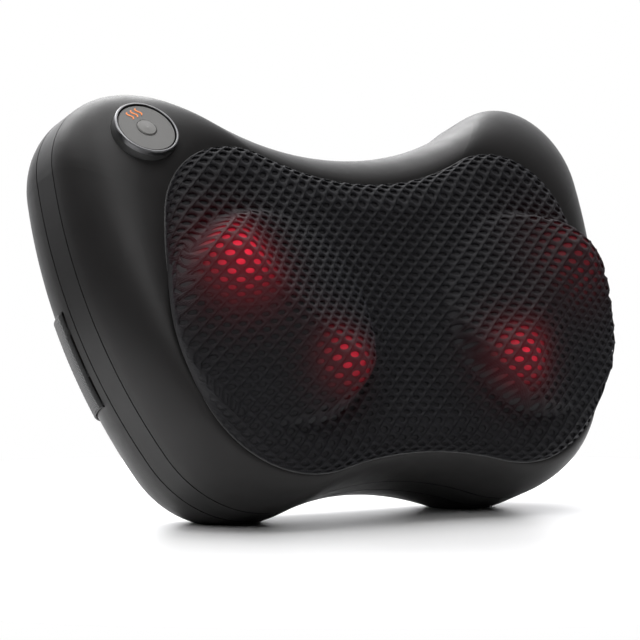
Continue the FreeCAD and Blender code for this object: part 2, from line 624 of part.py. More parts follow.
def make_carrier(side_name, side):
    """One output: shaft, wheel, arm, two nodes with their lamps, contact ring, screws."""
    def centre(y):
        return (side * float(s.carrier_x), y, float(s.carrier_z))

    arm_front = float(s.arm_back + s.arm_thick)
    hub_back = float(s.box_split + s.cover_thick) + 1.5
    shaft_back = float(s.box_back) - 1.5
    shaft_length = arm_front - shaft_back
    shaft = turned(f"{side_name}_output_shaft", [
        (0, 0), (s.output_radius, 0), (s.output_radius, shaft_length),
        (s.screw_radius + 0.1, shaft_length), (s.screw_radius + 0.1, shaft_length - 10),
        (0, shaft_length - 10)])
    finish(f"{side_name}_output_shaft", shaft, centre(-shaft_back), FACING_FRONT)
    make_worm_wheel(f"{side_name}_worm_wheel", centre)

    # the arm runs from the low inner node to the high outer one
    angle = float(s.node_angle) if side > 0 else 180 - float(s.node_angle)
    swing = FACING_FRONT.multiply(Rotation(Vector(0, 0, 1), angle))
    bar = block((-s.node_arm, -s.arm_half_width, 0), (s.node_arm, s.arm_half_width, s.arm_thick))
    ends = [cylinder(s.arm_half_width, s.arm_thick, (way * s.node_arm, 0, 0)) for way in (-1, 1)]
    hub = cylinder(s.hub_radius, arm_front - hub_back, (0, 0, hub_back - s.arm_back))
    bosses = []
    holes = [cylinder(s.output_radius + s.seated, 20, (0, 0, -10))]
    boss_radius = NODE_BASE - s.node_wall - s.gap
    for way in (-1, 1):
        bosses.append(cylinder(boss_radius, s.node_boss_height, (way * s.node_arm, 0, s.arm_thick)))
        bosses.append(cylinder(s.arm_half_width + 1, s.arm_thick, (way * s.node_arm, 0, 0)))
        holes.append(cylinder(s.screw_radius, 20, (way * s.node_arm - 6, 0, -5)))
        holes.append(cylinder(s.screw_radius, 20, (way * s.node_arm + 6, 0, -5)))
    arm = cut(fuse(bar, hub, *ends, *bosses), *holes)
    finish(f"{side_name}_node_carrier", arm, centre(-float(s.arm_back)), swing)

    node_spots = []
    for place, way in (("outer", 1), ("inner", -1)):
        away = way * float(s.node_arm)
        at = (side * float(s.carrier_x) + side * away * math.cos(math.radians(float(s.node_angle))),
              -arm_front, float(s.carrier_z) + away * math.sin(math.radians(float(s.node_angle))))
        ball = doc.addObject("Part::Sphere", "ball")
        bind(ball, "Radius", s.node_radius)
        move(ball, (0, 0, s.node_seat))
        room = doc.addObject("Part::Sphere", "room")
        bind(room, "Radius", s.node_radius - s.node_wall)
        move(room, (0, 0, s.node_seat))
        below = block((-20, -20, -20), (20, 20, 0))
        finish(f"{side_name}_{place}_node", cut(ball, room, below), at, FACING_FRONT)
        node_spots.append((at, FACING_FRONT))
    lamp = cylinder(s.lamp_radius, s.lamp_height, (0, 0, s.node_boss_height))
    collar = cylinder(s.lamp_radius + 0.8, 1.2, (0, 0, s.node_boss_height))
    dome = doc.addObject("Part::Sphere", "dome")
    bind(dome, "Radius", s.lamp_radius)
    move(dome, (0, 0, s.node_boss_height + s.lamp_height))
    finish(f"{side_name}_node_lamps", copies(fuse(lamp, collar, dome), node_spots))
    node_bolt = screw(f"{side_name}_node_screw", 6.5)
    spots = [((way * float(s.node_arm) + step, 0, 0), Rotation(Vector(1, 0, 0), 180))
             for way in (-1, 1) for step in (-6, 6)]
    finish(f"{side_name}_node_screws", copies(node_bolt, spots), centre(-float(s.arm_back)), swing)

    finish(f"{side_name}_contact_ring",
           tube(f"{side_name}_contact_ring", s.hub_radius + 0.1, s.ring_outer, 0, s.ring_thick),
           centre(-float(s.arm_back) + float(s.ring_thick)), FACING_FRONT)
    hub_screw = screw(f"{side_name}_hub_screw", 8)
    finish(f"{side_name}_hub_screw", hub_screw, centre(-arm_front), FACING_FRONT)


def make_bearings():
    """The four output bushes, two thrust washers and the brushes of the contact rings."""
    def spots(depth):
        return [((side * float(s.carrier_x), -float(depth), float(s.carrier_z)), FACING_FRONT)
                for _, side in SIDES]

    for end, low, thick in (("rear", s.box_back, s.box_wall), ("front", s.box_split, s.cover_thick)):
        bush = tube(f"{end}_bush", s.output_radius + s.running, s.output_radius + s.bush_wall,
                    0, thick)
        finish(f"{end}_output_bushes", copies(bush, spots(low)))
    washer = tube("thrust_washer", s.output_radius + s.running, s.gear_hub_radius, 0, 0.6)
    finish("thrust_washers", copies(washer, spots(s.box_back + s.box_wall + s.gap)))
    reach = s.arm_back - s.ring_thick - s.box_split - s.cover_thick - 0.15
    fingers = group(*[block((15, offset - 1.2, 0), (20, offset + 1.2, reach))
                      for offset in (-3.0, 3.0)])
    finish("contact_brushes", copies(fingers, spots(s.box_split + s.cover_thick)))


# ---------------------------------------------------------------- motor

def make_motor():
    half = s.motor_length / 2
    wall = s.motor_wall
    boss = half + s.motor_boss_length
    bore = s.rotor_radius + s.running
    can = turned("motor_can", [
        (s.motor_boss_radius - 1.5, -boss), (s.motor_boss_radius, -boss),
        (s.motor_boss_radius, -half), (s.motor_radius, -half), (s.motor_radius, half - 8),
        (s.motor_radius - wall, half - 8), (s.motor_radius - wall, -half + wall),
        (s.motor_boss_radius - 1.5, -half + wall)])
    finish("motor_can", can, DRIVE, FACING_X)
    cap = turned("motor_end_cap", [
        (s.motor_boss_radius - 1.5, boss), (s.motor_boss_radius, boss),
        (s.motor_boss_radius, half), (s.motor_radius, half), (s.motor_radius, half - 8),
        (s.motor_radius - wall, half - 8), (s.motor_radius - wall, half - wall),
        (s.motor_boss_radius - 1.5, half - wall)])
    finish("motor_end_cap", cap, DRIVE, FACING_X)
    can_bush = tube("can_bush", bore, s.motor_boss_radius - 1.5, half - wall, boss)
    finish("motor_bushes", copies(can_bush, [
        (DRIVE, FACING_X), (DRIVE, Rotation(Vector(0, 1, 0), -90))]))
    shaft = s.tunnel_length + s.box_wall - 0.5
    finish("motor_shaft", group(cylinder(s.rotor_radius, shaft * 2, (0, 0, -shaft))), DRIVE,
           FACING_X)
    core = tube("motor_armature", s.rotor_radius, s.armature_radius, -13, 13)
    finish("motor_armature", core, DRIVE, FACING_X)
    magnets = tube("motor_magnets", s.armature_radius + 1, s.motor_radius - wall, -13, 13)
    finish("motor_magnets", magnets, DRIVE, FACING_X)
    clip_y = DRIVE[1] + float(s.motor_radius) + 2.0
    finish("thermal_fuse", group(cylinder(2.0, 12, (-6, clip_y, DRIVE[2]), FACING_X)))
    end_bush = tube("shaft_bush", bore, s.rotor_radius + 2.5, s.tunnel_length - 0.5,
                    s.tunnel_length + s.box_wall)
    finish("shaft_end_bushes", copies(end_bush, [
        (DRIVE, FACING_X), (DRIVE, Rotation(Vector(0, 1, 0), -90))]))


# ---------------------------------------------------------------- gearbox

def make_gearbox():
    back = -s.box_back
    floor = -(s.box_back + s.box_wall)
    split = -s.box_split
    front = split - s.cover_thick
    wall = s.box_wall
    axis_z = WORM_HEIGHT
    half = s.tunnel_half
    bay = s.motor_radius + 2
    bay_end = s.motor_length / 2 + s.gap

    def drums(radius, low, high):
        return [cylinder(radius, high - low, (side * s.carrier_x, low, s.carrier_z), FACING_BACK)
                for _, side in SIDES]

    def beam(low, high):
        reach = s.tunnel_length + wall
        return block((-reach, low, axis_z - half - wall), (reach, high, axis_z + half + wall))

    def bay_frame(low, high):
        reach = bay_end + wall
        return block((-reach, low, axis_z - bay - wall), (reach, high, axis_z + bay + wall))

    def at_ears(radius, low, high):
        return [cylinder(radius, high - low, (x, low, z), FACING_BACK) for x, z in EARS]

    bay_room = block((-bay_end, front - 5, axis_z - bay), (bay_end, 0, axis_z + bay))
    shaft_line = cylinder(s.rotor_radius + 1, s.tunnel_length * 2, (
        -s.tunnel_length, -s.worm_depth, axis_z), FACING_X)
    boss_line = cylinder(s.motor_boss_radius + 0.05, bay_end * 2 + wall * 2 + 1, (
        -bay_end - wall - 0.5, -s.worm_depth, axis_z), FACING_X)
    bush_line = cylinder(s.rotor_radius + 2.5, (s.tunnel_length + wall) * 2 + 1, (
        -s.tunnel_length - wall - 0.5, -s.worm_depth, axis_z), FACING_X)
    tunnels = []
    for _, side in SIDES:
        near, far = bay_end + wall, s.tunnel_length
        low, high = (near, far) if side > 0 else (-far, -near)
        tunnels.append(block((low, split - 1, axis_z - half), (high, floor, axis_z + half)))
    upper, lower = s.foot_inner_x + 16, s.foot_outer_x + 8
    low_feet = s.carrier_z - s.foot_outer_down
    flange = [block((-upper, floor, s.carrier_z - 14), (upper, back, s.carrier_z + 14)),
              block((-lower, floor, low_feet - 7), (lower, back, low_feet + 11))]
    foot_holes = [cylinder(s.screw_radius + 0.2, 20, (x, -25, z), FACING_BACK)
                  for x, z in BOX_FEET]
    housing = cut(
        fuse(*drums(s.drum_radius + wall, split, back), beam(split, back), bay_frame(split, back),
             *at_ears(s.ear_radius, split, back), *flange),
        *drums(s.drum_radius, split - 1, floor), *tunnels, bay_room, boss_line, bush_line,
        shaft_line, *foot_holes, *at_ears(s.screw_radius, split - 1, floor),
        *drums(s.output_radius + s.bush_wall, floor - 1, 0))
    finish("gearbox_housing", housing)
    counterbore = [cylinder(s.screw_head_radius + s.gap, 10, (x, front + 2.2 - 10, z), FACING_BACK)
                   for x, z in EARS]
    cover = cut(
        fuse(*drums(s.drum_radius + wall, front, split), beam(front, split),
             bay_frame(front, split), *at_ears(s.ear_radius, front, split)),
        bay_room, *at_ears(s.screw_radius + 0.1, front - 1, split + 1), *counterbore,
        *drums(s.output_radius + s.bush_wall, front - 1, split + 1))
    finish("gearbox_cover", cover)

    bolt = screw("cover_screw", 9)
    spots = [((x, float(front) + 2.2, z), FACING_FRONT) for x, z in EARS]
    finish("gearbox_cover_screws", copies(bolt, spots))
    foot_bolt = screw("foot_screw", 12)
    spots = [((x, float(floor), z), FACING_FRONT) for x, z in BOX_FEET]
    finish("gearbox_mount_screws", copies(foot_bolt, spots))


# ---------------------------------------------------------------- control pad

def make_control_pad():
    def put(label, thing, height=0.0, turn=UPRIGHT):
        spot = PAD.multVec(Vector(0, 0, float(height)))
        return finish(label, thing, spot, PAD.Rotation.multiply(turn))

    outer = s.pad_radius
    inner = outer - s.bezel_width
    shelf = -(s.plate_inset + s.plate_thick)
    floor = -(s.pad_depth - 1.5)
    housing = turned("control_housing", [
        (0, -s.pad_depth), (outer, -s.pad_depth), (outer, -s.bezel_height),
        (inner, -s.bezel_height), (inner, shelf - 1.2), (inner - 0.7, shelf),
        (inner - 2.5, shelf), (inner - 2.5, floor), (0, floor)])
    put("control_housing", housing)
    bezel = turned("control_bezel", [
        (inner, -s.bezel_height), (outer, -s.bezel_height), (outer, -0.5),
        (outer - 0.3, -0.1), (outer - 0.6, 0), (inner + 0.2, 0), (inner, -0.2)])
    put("control_bezel", bezel)
    plate_radius = inner - s.pad_groove
    plate = turned("control_plate", [
        (s.button_radius + s.gap, shelf), (plate_radius, shelf),
        (plate_radius, -s.plate_inset - 0.3), (plate_radius - 0.3, -s.plate_inset),
        (s.button_radius + s.gap, -s.plate_inset)])
    put("control_plate", plate)
    flange_top = shelf - 0.2
    button = turned("power_button", [
        (0, flange_top - 1), (s.button_radius + 1.4, flange_top - 1),
        (s.button_radius + 1.4, flange_top), (s.button_radius, flange_top),
        (s.button_radius, -s.plate_inset + s.button_rise - 0.5),
        (s.button_radius - 0.5, -s.plate_inset + s.button_rise),
        (0, -s.plate_inset + s.button_rise + 0.3)])
    put("power_button", button)
    board = cylinder(inner - 2.5 - s.gap, s.pad_board_thick)
    put("control_board", board, floor)
    # the switch stands on the board, and its plunger stops just short of the pressed button
    board_top = floor + s.pad_board_thick
    plunger = flange_top - 1 - board_top - s.button_travel - 0.1
    half = s.switch_half
    switch = fuse(block((-half, -half, 0), (half, half, plunger - 1.3)), cylinder(1.6, plunger))
    put("tact_switch", switch, board_top)
    waves = []
    swing, tall = float(s.wave_swing), float(s.wave_tall)
    for step in (-1, 0, 1):
        rails = []
        for edge in (-0.5, 0.5):
            x = step * float(s.wave_pitch) + edge * float(s.wave_wide)
            curve = Part.BSplineCurve()
            curve.interpolate([
                Vector(x + swing * math.sin(k * math.pi / 2), tall * (k / 4 - 0.5), 0)
                for k in range(5)])
            rails.append(curve.toShape())
        waves.append(Part.makeRuledSurface(*rails).extrude(Vector(0, 0, float(s.wave_thick))))
    mark = computed(Part.makeCompound(waves))
    spot = PAD.multVec(Vector(-float(s.mark_outward), float(s.mark_up), -float(s.plate_inset)))
    turn = Rotation(Vector(0, 0, 1), float(s.mark_turn))
    finish("heat_mark", mark, spot, PAD.Rotation.multiply(turn))


# ---------------------------------------------------------------- board, inlet and screws

def make_electrics():
    back = float(s.board_back)
    half, low = float(s.board_half_width), float(s.board_low)
    board = cut(block((-half, back, low), (half, back + float(s.board_thick),
                                           low + float(s.board_tall))),
                *[cylinder(s.screw_radius + 0.2, 6, (x, back - 2, z), FACING_BACK)
                  for x, z in BOARD_POSTS])
    finish("main_board", board)
    # a heat sink, a connector and two capacitors, placed from the board's lower edge
    parts = [block((-22, back - 9, low + 6), (-6, back, low + 24)),
             block((14, back - 6, low + 18), (28, back, low + 24)),
             cylinder(4, 11, (4, back, low + 14), FACING_FRONT),
             cylinder(3, 9, (22, back, low + 10), FACING_FRONT)]
    finish("board_components", group(*parts))
    bolt = screw("board_screw", 8)
    spots = [((x, back, z), FACING_FRONT) for x, z in BOARD_POSTS]
    finish("board_screws", copies(bolt, spots))

    bore = s.plug_bore_radius
    inlet = turned("dc_inlet", [
        (0, -14), (s.inlet_radius, -14), (s.inlet_radius, 0), (s.inlet_radius + 2, 0),
        (s.inlet_radius + 2, 1.5), (bore, 1.5), (bore, -9), (s.plug_pin_radius, -9),
        (s.plug_pin_radius, 0), (0, 0.5)])
    finish("dc_inlet", inlet, (float(s.inlet_x), BACK, float(s.inlet_z)), FACING_BACK)
    nut = tube("inlet_nut", s.inlet_radius, s.inlet_radius + 2.5, 0, 2.5)
    finish("inlet_nut", nut, (float(s.inlet_x), BACK - WALL - 2.5, float(s.inlet_z)), FACING_BACK)

    bolt = screw("shell_screw", HEAD_SEAT - SPLIT + float(s.screw_grip))
    spots = [((x, HEAD_SEAT, z), FACING_BACK) for x, z in SHELL_SCREWS]
    finish("shell_screws", copies(bolt, spots))


def check_and_write():
    """Refuse a failed feature or an empty shape, then write one file for each sub-part."""
    doc.recompute()
    for label, (thing, place) in made.items():
        thing.Placement = place
    doc.recompute()
    broken = [o.Name for o in doc.Objects if "Invalid" in o.State or "Error" in o.State]
    for label, (thing, _) in made.items():
        if thing.Shape.isNull() or not thing.Shape.isValid():
            broken.append(label)
    if broken:
        raise RuntimeError("failed: " + ", ".join(broken))
    os.makedirs("parts", exist_ok=True)
    for label, (thing, _) in made.items():
        thing.Shape.exportStep(f"parts/{label}.step")
    print(len(made), "sub-parts written")


make_front_shell()
make_mid_band()
make_rear_shell()
make_strap()
make_fabric()
for side_label, side_sign in SIDES:
    make_worm(f"{side_label}_worm", side_sign)
    make_carrier(side_label, side_sign)
make_bearings()
make_motor()
make_gearbox()
make_control_pad()
make_electrics()
check_and_write()
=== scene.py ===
import json
import math

import bpy
import numpy as np
from mathutils import Matrix, Vector
from mathutils.bvhtree import BVHTree
from mathutils.kdtree import KDTree


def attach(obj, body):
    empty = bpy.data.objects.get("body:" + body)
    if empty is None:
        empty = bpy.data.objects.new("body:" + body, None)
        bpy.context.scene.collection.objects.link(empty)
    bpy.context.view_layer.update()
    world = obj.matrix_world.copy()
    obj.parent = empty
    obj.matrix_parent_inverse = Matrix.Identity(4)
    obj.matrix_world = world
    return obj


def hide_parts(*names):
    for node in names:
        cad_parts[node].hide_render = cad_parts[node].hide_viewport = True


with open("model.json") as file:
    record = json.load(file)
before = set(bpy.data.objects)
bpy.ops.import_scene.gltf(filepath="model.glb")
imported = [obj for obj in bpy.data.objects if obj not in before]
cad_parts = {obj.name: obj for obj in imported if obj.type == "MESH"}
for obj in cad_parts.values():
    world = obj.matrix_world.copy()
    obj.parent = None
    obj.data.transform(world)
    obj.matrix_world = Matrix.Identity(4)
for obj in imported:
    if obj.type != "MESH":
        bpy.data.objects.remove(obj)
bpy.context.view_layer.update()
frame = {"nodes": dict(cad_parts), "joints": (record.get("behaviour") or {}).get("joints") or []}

# Looks for the neck massager.  Soft pieces are designed upright, in millimetres (X across,
# -Y to the front, Z up the pillow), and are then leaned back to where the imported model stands.

MM = 0.001
BODY_OF_SIDE = {-1: "left_output", 1: "right_output"}
SIDE_NAME = {-1: "left", 1: "right"}

# ---------------------------------------------------------------- the leaning frame

joints = {joint["name"]: joint for joint in frame["joints"]}
spin = joints["right_output_spin"]
DRIVE_DEPTH = 40.0       # the joint's point lies this far in front of the outer seam
DRIVE_HEIGHT = 80.0      # and this far above the upright design's origin
DRIVE_X = spin["pos_m"][0] / MM
ACROSS = Vector((1, 0, 0))
BACK = -Vector(spin["axis"]).normalized()
UP = ACROSS.cross(BACK)
ORIGIN = Vector(spin["pos_m"]) - MM * (DRIVE_X * ACROSS - DRIVE_DEPTH * BACK + DRIVE_HEIGHT * UP)
LEAN = Matrix([(*axes, at) for *axes, at in zip(MM * ACROSS, MM * BACK, MM * UP, ORIGIN)]
              + [(0, 0, 0, 1)])


def leaned(x, y, z):
    """A point of the upright design, in millimetres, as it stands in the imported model."""
    return LEAN @ Vector((x, y, z))


# ---------------------------------------------------------------- camera, floor and lights

# Places in metres, lamp strengths in watts.
CAMERA_AT = (-0.8664, -1.1613, 0.1338)
CAMERA_TILT, CAMERA_TURN = 88.81, -36.0     # degrees from straight down, and round the object
LENS, SENSOR = 153.4, 36.0                  # focal length and sensor width in millimetres
FLOOR_RADIUS = 0.45
SKY_TOWARDS = (0.30, 0.75, 0.59)            # the way in which the studio grows brighter
SKY_DARK = (0.30, (0.03, 0.03, 0.031, 1))   # where its dark end lies, and how bright it is
SKY_BRIGHT = (0.95, (1.9, 1.9, 1.93, 1))
LAMPS_AIM = (0, 0, 0.12)
LAMPS = {                                   # place, size and strength of each soft box
    "top_box": ((0.0, 0.15, 1.5), (1.6, 1.2), 12),
    "left_box": ((-1.1, 0.2, 1.2), (0.7, 0.7), 4),
    "key_box": ((-0.95, -1.2, 1.1), (1.1, 0.6), 10),
    "front_box": ((-0.5, -0.75, 2.0), (1.4, 0.7), 15),
    "back_box": ((0.1, 1.3, 1.3), (1.8, 0.8), 24),
}


def make_camera():
    camera = bpy.data.objects.new("camera", bpy.data.cameras.new("camera"))
    bpy.context.scene.collection.objects.link(camera)
    camera.location = CAMERA_AT
    camera.rotation_euler = (math.radians(CAMERA_TILT), 0, math.radians(CAMERA_TURN))
    camera.data.lens = LENS
    camera.data.sensor_width = SENSOR
    bpy.context.scene.camera = camera


def area_light(name, at, size, power):
    """A white soft box that points at the object."""
    light = bpy.data.lights.new(name, "AREA")
    light.shape = "RECTANGLE"
    light.size, light.size_y = size
    light.energy = power
    lamp = bpy.data.objects.new(name, light)
    bpy.context.scene.collection.objects.link(lamp)
    lamp.location = at
    lamp.rotation_euler = (Vector(LAMPS_AIM) - Vector(at)).to_track_quat("-Z", "Y").to_euler()


def make_studio():
    """A white floor, white soft boxes, and a world that the camera sees as plain white."""
    bpy.ops.mesh.primitive_circle_add(vertices=96, radius=FLOOR_RADIUS, fill_type="NGON")
    floor = bpy.context.object
    floor.name = "floor"
    floor.data.materials.append(plain_material("floor_white", (0.93, 0.93, 0.93), 0.3))

    world = bpy.data.worlds.new("studio")
    bpy.context.scene.world = world
    world.use_nodes = True
    nodes, links = world.node_tree.nodes, world.node_tree.links
    nodes.clear()
    sky = nodes.new("ShaderNodeBackground")
    sky.inputs["Strength"].default_value = 1.0
    coords = nodes.new("ShaderNodeTexCoord")
    towards = nodes.new("ShaderNodeVectorMath")
    towards.operation = "DOT_PRODUCT"
    towards.inputs[1].default_value = SKY_TOWARDS
    ramp = nodes.new("ShaderNodeValToRGB")
    for stop, (position, colour) in zip(ramp.color_ramp.elements, (SKY_DARK, SKY_BRIGHT)):
        stop.position, stop.color = position, colour
    links.new(coords.outputs["Generated"], towards.inputs[0])
    links.new(towards.outputs["Value"], ramp.inputs["Fac"])
    links.new(ramp.outputs["Color"], sky.inputs["Color"])
    white = nodes.new("ShaderNodeBackground")
    white.inputs["Color"].default_value = (1, 1, 1, 1)
    white.inputs["Strength"].default_value = 1.0
    seen = nodes.new("ShaderNodeLightPath")
    either = nodes.new("ShaderNodeMixShader")
    links.new(seen.outputs["Is Camera Ray"], either.inputs["Fac"])
    links.new(sky.outputs[0], either.inputs[1])
    links.new(white.outputs[0], either.inputs[2])
    out = nodes.new("ShaderNodeOutputWorld")
    links.new(either.outputs[0], out.inputs["Surface"])

    for name, (at, size, power) in LAMPS.items():
        area_light(name, at, size, power)
    bpy.context.scene.view_settings.view_transform = "Standard"


# ---------------------------------------------------------------- materials

YARN_ANGLE = 43.0               # the yarns' twist, in degrees either way
YARN_PAINTED_GLOW, YARN_PAINTED_GLOW_REACH = 0.13, 24.0     # strength of the red glow painted on the yarn near the nodes, and how far it spreads in millimetres
# how far the red glow painted on the lining spreads, in millimetres
LINING_PAINTED_GLOW_REACH = 15.0


class Nodes:
    """A short way to make and join a material's nodes."""

    def __init__(self, name):
        self.material = bpy.data.materials.new(name)
        self.material.use_nodes = True
        self.tree = self.material.node_tree
        self.tree.nodes.clear()
        self.coords = self.add("TexCoord").outputs["Object"]
        self.shader = self.add("BsdfPrincipled")
        out = self.add("OutputMaterial")
        self.tree.links.new(self.shader.outputs[0], out.inputs["Surface"])

    def add(self, kind, **inputs):
        node = self.tree.nodes.new("ShaderNode" + kind)
        for name, value in inputs.items():
            self.put(node.inputs[name.replace("_", " ")], value)
        return node

    def put(self, socket, value):
        if isinstance(value, bpy.types.NodeSocket):
            self.tree.links.new(value, socket)
        elif isinstance(value, tuple) and len(value) == 3 and socket.type == "RGBA":
            socket.default_value = (*value, 1)
        else:
            socket.default_value = value

    def surface(self, **inputs):
        for name, value in inputs.items():
            self.put(self.shader.inputs[name.replace("_", " ")], value)

    def noise(self, scale, detail=2.0, stretch=(1, 1, 1)):
        """Noise in 0..1 whose grains are 1/scale metres, drawn out along the axes."""
        mapping = self.add("Mapping", Vector=self.coords)
        mapping.inputs["Scale"].default_value = stretch
        node = self.add("TexNoise", Vector=mapping.outputs[0], Scale=scale, Detail=detail)
        return node.outputs["Fac"]

    def ramp(self, value, low, high, from_low=0.3, from_high=0.7):
        """The value's range, by default that of most noise, spread over low to high."""
        node = self.add("MapRange", Value=value)
        for name, number in zip(("From Min", "From Max", "To Min", "To Max"),
                                (from_low, from_high, low, high)):
            node.inputs[name].default_value = number
        return node.outputs[0]

    def blend(self, factor, first, second):
        node = self.tree.nodes.new("ShaderNodeMix")
        node.data_type = "RGBA"
        self.put(node.inputs[0], factor)
        self.put(node.inputs[6], first)
        self.put(node.inputs[7], second)
        return node.outputs[2]

    def maths(self, operation, first, second=0.0):
        node = self.tree.nodes.new("ShaderNodeMath")
        node.operation = operation
        self.put(node.inputs[0], first)
        self.put(node.inputs[1], second)
        return node.outputs[0]

    def bump(self, height, distance):
        """A surface normal for grain that is distance metres deep."""
        node = self.add("Bump", Height=height)
        node.inputs["Distance"].default_value = distance
        node.inputs["Strength"].default_value = 1.0
        return node.outputs["Normal"]


def shade(colour, factor):
    """The colour made darker or lighter, never past white."""
    return tuple(min(1.0, channel * factor) for channel in colour)


def plain_material(name, colour, roughness):
    look = Nodes(name)
    patches = look.noise(6, 3)
    look.surface(Base_Color=look.blend(look.ramp(patches, 0, 1), shade(colour, 0.985), colour),
                 Roughness=look.ramp(patches, roughness * 0.95, roughness * 1.05))
    return look.material


def moulded_material(name, colour, roughness, grain=0.00004, grain_size=2600, specular=0.5,
                     coat=0.0):
    """Moulded plastic: faint colour drift, uneven gloss and a fine spark-eroded grain."""
    look = Nodes(name)
    drift = look.noise(14, 4)
    haze = look.noise(90, 3)
    base = look.blend(look.ramp(drift, 0, 1), shade(colour, 0.93), shade(colour, 1.07))
    look.surface(Base_Color=base, Roughness=look.ramp(haze, roughness - 0.03, roughness + 0.03),
                 Normal=look.bump(look.noise(grain_size, 2), grain))
    look.shader.inputs["Specular IOR Level"].default_value = specular
    look.shader.inputs["Coat Weight"].default_value = coat
    look.shader.inputs["Coat Roughness"].default_value = 0.3
    return look.material


def metal_material(name, colour, roughness, stretch=(1, 1, 1), scratch=0.00001):
    """Turned, drawn or plated metal with fine marks along one way."""
    look = Nodes(name)
    marks = look.noise(900, 4, stretch)
    stain = look.noise(40, 3)
    base = look.blend(look.ramp(stain, 0, 1), shade(colour, 0.86), colour)
    look.surface(Base_Color=base, Metallic=1.0,
                 Roughness=look.ramp(marks, roughness - 0.05, roughness + 0.08),
                 Normal=look.bump(marks, scratch))
    return look.material


def winding_material(name):
    """The wound rotor: copper wire laid side by side under clear varnish."""
    look = Nodes(name)
    wave = look.add("TexWave", Vector=look.coords, Scale=700.0, Distortion=1.5)
    turns = wave.outputs["Fac"]
    base = look.blend(turns, (0.30, 0.10, 0.03), (0.62, 0.27, 0.10))
    look.surface(Base_Color=base, Metallic=0.9, Roughness=0.32,
                 Normal=look.bump(turns, 0.00012))
    look.shader.inputs["Coat Weight"].default_value = 0.5
    return look.material


def board_material(name):
    """A solder mask over faint copper tracks."""
    look = Nodes(name)
    tracks = look.add("TexBrick", Vector=look.coords, Scale=120.0)
    tracks.inputs["Mortar Size"].default_value = 0.05
    wide = look.noise(60, 1)
    base = look.blend(tracks.outputs["Fac"], (0.010, 0.10, 0.035), (0.03, 0.20, 0.07))
    look.surface(Base_Color=base, Roughness=look.ramp(wide, 0.3, 0.42),
                 Normal=look.bump(tracks.outputs["Fac"], 0.00003))
    return look.material


def lit_material(name, colour, strength):
    """Clear red plastic that gives off red light: the node lamps themselves, and on the node
    covers a painted glow standing in for the lamp light inside them, brighter and darker in
    uneven clouds.
    """
    look = Nodes(name)
    cloud = look.noise(160, 3)
    look.surface(Base_Color=look.blend(look.ramp(cloud, 0, 1), shade(colour, 0.7), colour),
                 Roughness=0.25, Emission_Color=colour,
                 Emission_Strength=look.ramp(cloud, strength * 0.8, strength * 1.1))
    look.shader.inputs["Transmission Weight"].default_value = 0.35
    return look.material


def painted_glow_near(look, lamps, reach):
    """The red glow painted round each lit node, standing in for its light through the cloth,
    falling off over about reach millimetres.
    """
    total = None
    for centre, strength, spread in lamps:
        away = look.tree.nodes.new("ShaderNodeVectorMath")
        away.operation = "DISTANCE"
        look.put(away.inputs[0], look.coords)
        away.inputs[1].default_value = centre
        share = look.maths("DIVIDE", away.outputs["Value"], spread * reach * MM)
        square = look.maths("POWER", share, 2)
        fall = look.maths("POWER", math.e, look.maths("MULTIPLY", square, -1))
        part = look.maths("MULTIPLY", fall, strength)
        total = look.maths("ADD", total, part) if total else part
    return total


def thread_material(name, lamps):
    """The knitted face of the air mesh: twisted yarns with a dull, slightly blue sheen, and a red
    glow painted on near the lit nodes.
    """
    look = Nodes(name)
    ribs = []
    for turn in (YARN_ANGLE, -YARN_ANGLE):
        mapping = look.add("Mapping", Vector=look.coords)
        mapping.inputs["Rotation"].default_value = (0, math.radians(turn), 0)
        wave = look.add("TexWave", Vector=mapping.outputs[0], Scale=430.0, Distortion=0.6)
        ribs.append(wave.outputs["Fac"])
    yarn = look.maths("MULTIPLY", ribs[0], ribs[1])
    fuzz = look.noise(2400, 3)
    drift = look.noise(30, 3)
    body = look.blend(look.ramp(drift, 0, 1), (0.0034, 0.0032, 0.0040), (0.0060, 0.0058, 0.0070))
    base = look.blend(look.ramp(yarn, 0, 0.55, 0.0, 0.8), body, (0.0145, 0.0140, 0.0165))
    height = look.maths("ADD", yarn, look.maths("MULTIPLY", fuzz, 0.5))
    # painted glow: red emission on the yarn near the nodes, standing in for their light through
    # the cloth
    painted_glow = look.maths("MULTIPLY", painted_glow_near(look, lamps, YARN_PAINTED_GLOW_REACH), YARN_PAINTED_GLOW)
    look.surface(Base_Color=base, Roughness=look.ramp(fuzz, 0.5, 0.66),
                 Normal=look.bump(height, 0.00012),
                 Emission_Color=(0.85, 0.015, 0.05), Emission_Strength=painted_glow)
    look.shader.inputs["Sheen Weight"].default_value = 0.04
    look.shader.inputs["Sheen Roughness"].default_value = 0.4
    look.shader.inputs["Sheen Tint"].default_value = (0.75, 0.8, 1.0, 1)
    look.shader.inputs["Specular IOR Level"].default_value = 0.16
    return look.material


def lining_material(name, lamps):
    """The thin elastic lining, with a red glow painted on it wherever a node presses it, standing
    in for the node's light from behind.
    """
    look = Nodes(name)
    knit = look.noise(1500, 3)
    mottle = look.noise(220, 3)
    # painted glow: red emission on the lining near the nodes, made uneven by the mottle
    painted_glow = painted_glow_near(look, lamps, LINING_PAINTED_GLOW_REACH)
    painted_glow = look.maths("MULTIPLY", painted_glow, look.ramp(mottle, 0.75, 1.1))
    look.surface(Base_Color=look.blend(knit, (0.004, 0.004, 0.005), (0.010, 0.009, 0.011)),
                 Roughness=0.85, Normal=look.bump(knit, 0.0001),
                 Emission_Color=(1.0, 0.018, 0.055), Emission_Strength=painted_glow)
    return look.material


